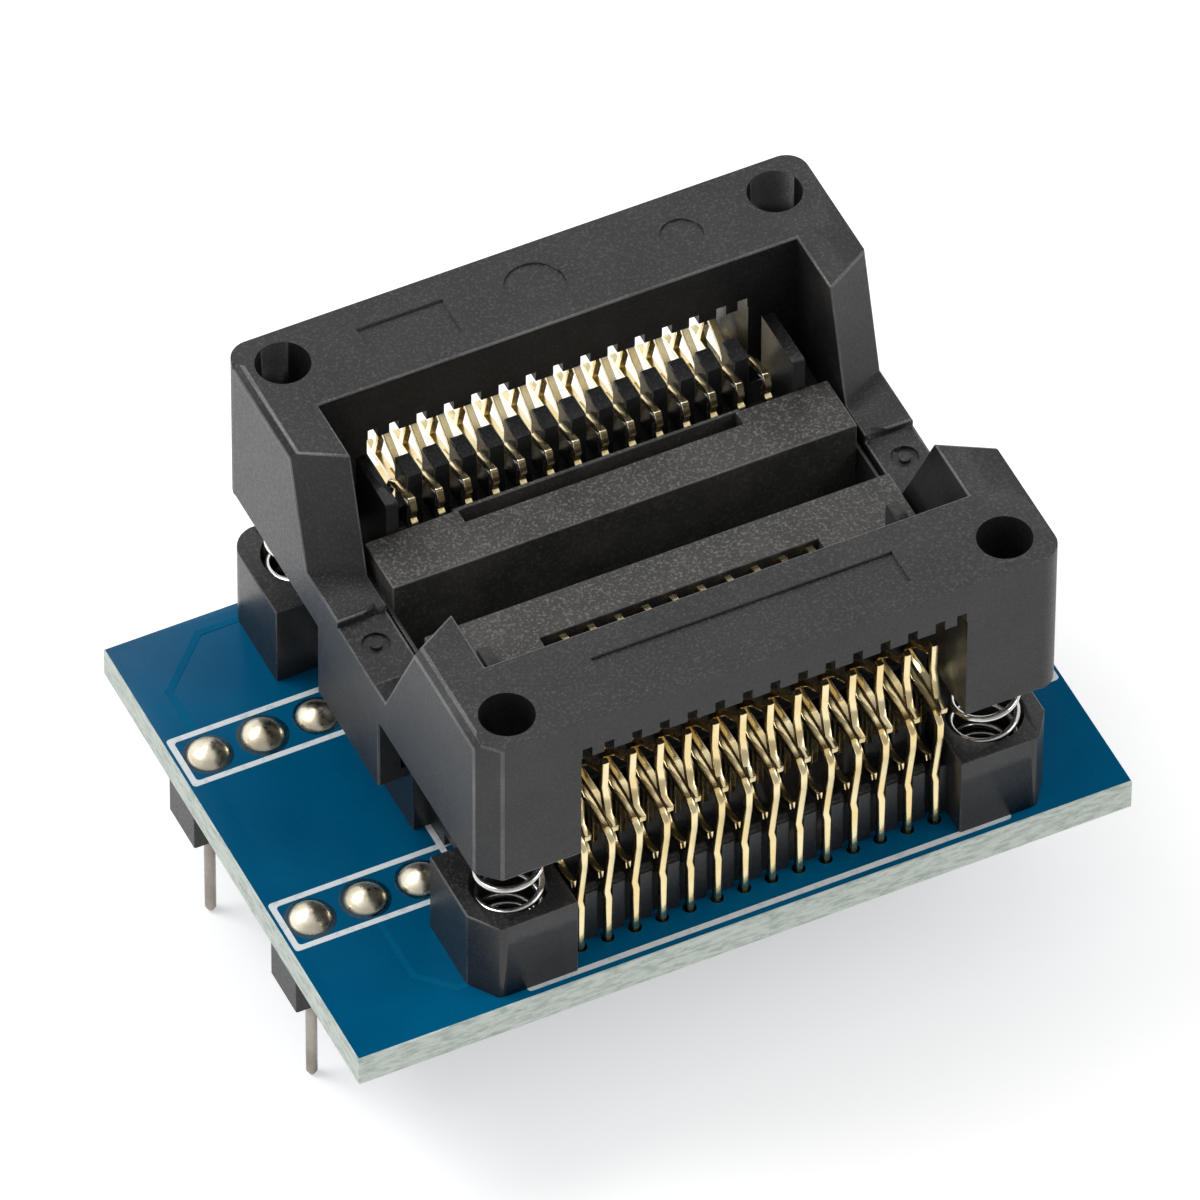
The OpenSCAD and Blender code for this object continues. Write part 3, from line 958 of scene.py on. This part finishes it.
@dataclass
class BoardPins:
    """The pins that plug into the host board, with their strips and their solder."""

    pitch: float = 2.54
    per_row: int = 14
    dome_radius: float = 0.93
    dome_height: float = 0.52
    dome_foot: float = 0.01
    dome_steps: tuple[Range, ...] = ((0.55, 0.84), (0.76, 0.60), (0.91, 0.30))
    dome_spread: Range = (0.92, 1.08)
    dome_lean: float = 0.05
    dome_sides: int = 32
    nub_radius: float = 0.27
    nub_height: float = 0.08
    nub_steps: tuple[Range, ...] = ((0.0, 1.0), (0.75, 0.9), (1.0, 0.3))
    nub_foot: Range = (1.35, 0.97)
    flux_radius: float = 1.12
    flux_height: float = 0.012
    flux_taper: float = 0.94
    flux_spread: Range = (0.95, 1.05)
    pin_edge: float = 0.03
    bead_edge: float = 0.04
    soft_crease: float = 40
    seed: int = 11

    def dome(self, mesh: bmesh.types.BMesh, centre: Vector, dice: random.Random) -> None:
        """Form the solder around one pin.

        Args:
            mesh: The mesh to add to.
            centre: Point on the pin's axis at the board, in metres.
            dice: Source of the small differences between domes.
        """
        radius, height = self.dome_radius, self.dome_height * dice.uniform(*self.dome_spread)
        profile = [
            *((self.nub_radius * out, height + self.nub_height * up) for out, up in self.nub_steps),
            (self.nub_radius * self.nub_foot[0], height * self.nub_foot[1]),
            *((radius * out, height * up) for out, up in self.dome_steps),
            (radius, self.dome_foot), (radius, 0.0), (0.0, 0.0),
        ]
        verts = [mesh.verts.new((centre.x + x * MM, centre.y, centre.z + z * MM)) for x, z in profile]
        edges = [mesh.edges.new(pair) for pair in zip(verts, verts[1:])]
        bmesh.ops.spin(
            mesh, geom=verts + edges, cent=centre, axis=(0, 0, 1), angle=math.tau, steps=self.dome_sides,
            use_merge=True, dvec=(0, 0, 0),
        )
        lean = Vector((dice.uniform(-1, 1), dice.uniform(-1, 1), 0)) * self.dome_lean * MM
        reach, floor = (radius + 0.01) * MM, centre.z + 0.1 * MM
        ring = [v for v in mesh.verts if (v.co - centre).xy.length < reach and v.co.z > floor]
        bmesh.ops.translate(mesh, verts=ring, vec=lean)

    def build(self, nodes: dict[str, bpy.types.Object], finishes: Finishes) -> None:
        """Dress pins, strips and solder.

        Args:
            nodes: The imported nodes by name.
            finishes: The materials.
        """
        dice = random.Random(self.seed)
        for row in Row:
            Moulding(f"pin_strip_{row.word}", f"strip_{row.word}", "base", "strip").build(nodes, finishes.strip)
            self.metal(nodes, f"pins_{row.word}", f"tinned_pins_{row.word}", "pin", finishes.pin, self.pin_edge)
            self.metal(nodes, f"tail_solder_{row.word}", f"tail_beads_{row.word}", "solder", finishes.solder,
                       self.bead_edge)
            low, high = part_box(f"pin_solder_{row.word}")
            middle = (low + high) / 2
            mesh = bmesh.new()
            stain = bmesh.new()
            for i in range(self.per_row):
                x = middle.x + (i - (self.per_row - 1) / 2) * self.pitch * MM
                self.dome(mesh, Vector((x, middle.y, low.z)), dice)
                ring = self.flux_radius * dice.uniform(*self.flux_spread) * MM
                bmesh.ops.create_cone(
                    stain, cap_ends=True, segments=self.dome_sides, radius1=ring, radius2=self.flux_taper * ring,
                    depth=self.flux_height * MM,
                    matrix=Matrix.Translation((x, middle.y, low.z + self.flux_height / 2 * MM)),
                )
            piece_from(stain, f"flux_rings_{row.word}", "base", "board", finishes.flux)
            bmesh.ops.remove_doubles(mesh, verts=mesh.verts[:], dist=0.001 * MM)
            bmesh.ops.recalc_face_normals(mesh, faces=mesh.faces[:])
            piece = piece_from(mesh, f"solder_domes_{row.word}", "base", "solder", finishes.solder, smooth=60)
            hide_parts(f"pin_solder_{row.word}")

    def metal(self, nodes: dict[str, bpy.types.Object], node: str, name: str, slot: str,
              material: bpy.types.Material, width: float) -> None:
        """Dress a metal node with softened edges.

        Args:
            nodes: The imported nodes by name.
            node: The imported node.
            name: Name of the piece.
            slot: Material slot of the record.
            material: Its material.
            width: Width of the softened edges in millimetres.
        """
        mesh = solid_copy(nodes[node])
        round_edges(mesh, [e for e in mesh.edges if crease_angle(e) > self.soft_crease], width, 1)
        piece = piece_from(mesh, name, "base", slot, material)
        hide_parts(node)


# -------------------------------------------------------------------- studio


@dataclass(frozen=True)
class Lamp:
    """A square soft lamp; its side and its place are in metres, its power in watts."""

    name: str
    size: float
    power: float
    place: tuple[float, float, float]

    def hang(self, aim: Vector) -> None:
        """Hang the lamp so that it faces a point.

        Args:
            aim: The point in metres.
        """
        data = bpy.data.lights.new(self.name, "AREA")
        data.shape = "SQUARE"
        data.size = self.size
        data.energy = self.power
        lamp = bpy.data.objects.new(self.name, data)
        lamp.location = self.place
        lamp.rotation_euler = (aim - Vector(self.place)).to_track_quat("-Z", "Y").to_euler()
        bpy.context.scene.collection.objects.link(lamp)


@dataclass
class Studio:
    """Camera, lamps, white table and white surroundings."""

    aim: tuple[float, float, float] = (0.98, 3.36, 13.01)
    azimuth: float = 25.908
    elevation: float = 48.018
    roll: float = -0.353
    distance: float = 832.07
    lens: float = 590.65
    sensor: float = 36.0
    table: float = 1.6
    table_colour: Colour = (0.86, 0.86, 0.86)
    table_glow: float = 0.42
    mirrored_glow: Range = (0.16, 0.50)
    mirrored_reach: float = 0.02
    room_light: float = 0.62
    mirrored_room: Range = (0.40, 1.0)
    mirrored_turn: Range = (-0.7, 0.3)
    lamps: tuple[Lamp, ...] = (
        Lamp("key_lamp", 0.35, 2.2, (-0.35, 0.25, 0.60)),
        Lamp("fill_lamp", 0.30, 0.8, (0.45, -0.35, 0.45)),
    )

    def camera(self) -> None:
        """Place the camera by its heading, height, roll and distance from the aim."""
        a, e, r = (math.radians(v) for v in (self.azimuth, self.elevation, self.roll))
        forward = Vector((math.sin(a) * math.cos(e), math.cos(a) * math.cos(e), -math.sin(e)))
        level = Vector((math.cos(a), -math.sin(a), 0))
        down = forward.cross(level)
        right = math.cos(r) * level + math.sin(r) * down
        below = math.cos(r) * down - math.sin(r) * level
        data = bpy.data.cameras.new("camera")
        data.sensor_width = self.sensor
        data.lens = self.lens
        data.clip_start = 0.01
        data.clip_end = 20
        camera = bpy.data.objects.new("camera", data)
        bpy.context.scene.collection.objects.link(camera)
        turn = Matrix((right, -below, -forward)).transposed().to_4x4()
        place = (Vector(self.aim) - forward * self.distance) * MM
        camera.matrix_world = Matrix.Translation(place) @ turn
        bpy.context.scene.camera = camera

    def white_table(self) -> None:
        """Lay a white table under the pins; mirrors see it darker in front of the object than behind it."""
        mesh = bmesh.new()
        bmesh.ops.create_grid(mesh, x_segments=1, y_segments=1, size=self.table / 2)
        data = bpy.data.meshes.new("table")
        mesh.to_mesh(data)
        mesh.free()
        table = bpy.data.objects.new("table", data)
        bpy.context.scene.collection.objects.link(table)
        sheet = NodeSheet("white_table")
        sheet.set(Base_Color=(*self.table_colour, 1), Roughness=0.9, Specular_IOR_Level=0.1)
        glow = sheet.add("ShaderNodeEmission")
        path = sheet.add("ShaderNodeLightPath")
        spot = sheet.add("ShaderNodeSeparateXYZ")
        sheet.join(sheet.place, spot, "Vector")
        mirrored = sheet.add("ShaderNodeMath", operation="MULTIPLY")
        glow_by_depth = sheet.span(spot.outputs["Y"], *self.mirrored_glow, -self.mirrored_reach, self.mirrored_reach)
        sheet.join(glow_by_depth, mirrored, 0)
        sheet.join(path.outputs["Is Glossy Ray"], mirrored, 1)
        share = sheet.add("ShaderNodeMath", operation="MULTIPLY_ADD")
        share.inputs[1].default_value = self.table_glow
        sheet.join(path.outputs["Is Camera Ray"], share, 0)
        sheet.join(mirrored.outputs[0], share, 2)
        sheet.join(share.outputs[0], glow, "Strength")
        total = sheet.add("ShaderNodeAddShader")
        sheet.join(sheet.shader.outputs[0], total, 0)
        sheet.join(glow.outputs[0], total, 1)
        sheet.join(total.outputs[0], sheet.tree.nodes["Material Output"], "Surface")
        data.materials.append(sheet.material)

    def surroundings(self) -> None:
        """White walls all round; mirrors see them darker in front of the object than behind it."""
        world = bpy.data.worlds.new("white_room")
        bpy.context.scene.world = world
        world.use_nodes = True
        nodes, links = world.node_tree.nodes, world.node_tree.links
        back = nodes["Background"]
        path = nodes.new("ShaderNodeLightPath")
        spot = nodes.new("ShaderNodeSeparateXYZ")
        links.new(nodes.new("ShaderNodeTexCoord").outputs["Generated"], spot.inputs["Vector"])
        mirrored = nodes.new("ShaderNodeMapRange")
        for entry, value in zip(RANGE_ENTRIES, (*self.mirrored_turn, *self.mirrored_room)):
            mirrored.inputs[entry].default_value = value
        links.new(spot.outputs["Y"], mirrored.inputs["Value"])
        level = nodes.new("ShaderNodeMix")
        level.inputs["A"].default_value = self.room_light
        links.new(path.outputs["Is Glossy Ray"], level.inputs["Factor"])
        links.new(mirrored.outputs["Result"], level.inputs["B"])
        seen = nodes.new("ShaderNodeMath")
        seen.operation = "MAXIMUM"
        links.new(path.outputs["Is Camera Ray"], seen.inputs[0])
        links.new(level.outputs["Result"], seen.inputs[1])
        links.new(seen.outputs[0], back.inputs["Strength"])
        back.inputs["Color"].default_value = (1, 1, 1, 1)

    def build(self) -> None:
        """Set up the whole studio."""
        self.camera()
        self.white_table()
        self.surroundings()
        for lamp in self.lamps:
            lamp.hang(Vector(self.aim) * MM)
        bpy.context.scene.view_settings.view_transform = "Standard"


def main() -> None:
    """Dress the whole socket, piece by piece."""
    logging.basicConfig(level=logging.INFO, format="%(name)s: %(message)s")
    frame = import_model()
    nodes = frame["nodes"]
    Studio().build()
    finishes = Finishes()
    AdapterBoard().build(nodes, finishes)
    BoardPins().build(nodes, finishes)
    Moulding("socket_base", "base_moulding", "base", "moulding").build(nodes, finishes.base, finishes.base_edge)
    Moulding("chip_seat", "seat_moulding", "base", "seat").build(nodes, finishes.seat, finishes.seat_edge)
    Moulding("press_cover", "cover_moulding", "cover", "moulding", rim=0.35, fine=0.09).build(
        nodes, finishes.cover, finishes.cover_edge)
    ContactRows().build(nodes, finishes)
    CornerSprings().build(frame, finishes)


if __name__ == "__main__":
    main()
